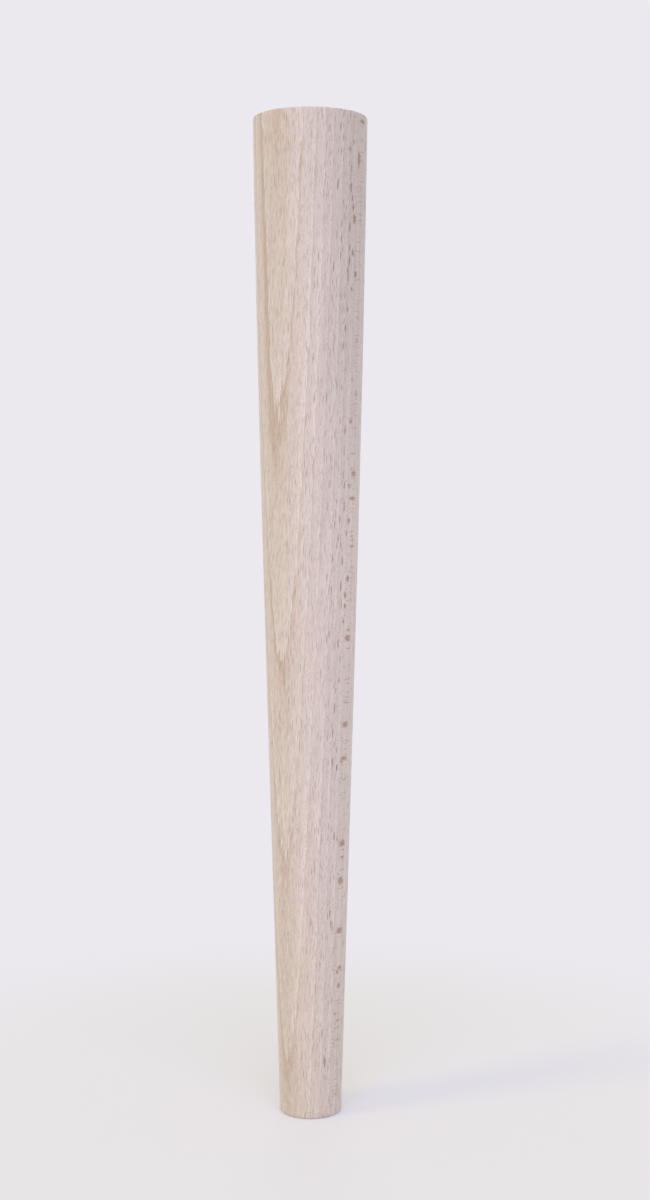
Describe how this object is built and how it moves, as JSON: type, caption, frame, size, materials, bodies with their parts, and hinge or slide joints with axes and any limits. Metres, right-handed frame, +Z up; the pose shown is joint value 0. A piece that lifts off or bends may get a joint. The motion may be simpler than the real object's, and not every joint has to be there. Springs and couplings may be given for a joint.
{
  "type": "furniture leg",
  "caption": "Round tapered wooden furniture leg with a slightly cambered side, flat foot and flat top, and a blind pilot hole in the top for a hanger bolt.",
  "frame": {"origin": "centre of the foot, on the floor that the leg stands on", "axes": "+Z up the leg's axis from the foot to the top; the leg is round, so X and Y are free and the picture looks along +Y"},
  "size_m": [0.0454, 0.0454, 0.4],
  "materials": {
    "beech": "raw sanded beech, unfinished and matt, with straight grain, ray flecks and pale pink-beige colour"
  },
  "bodies": {
    "root": {"turned_leg": "beech"}
  },
  "joints": []
}
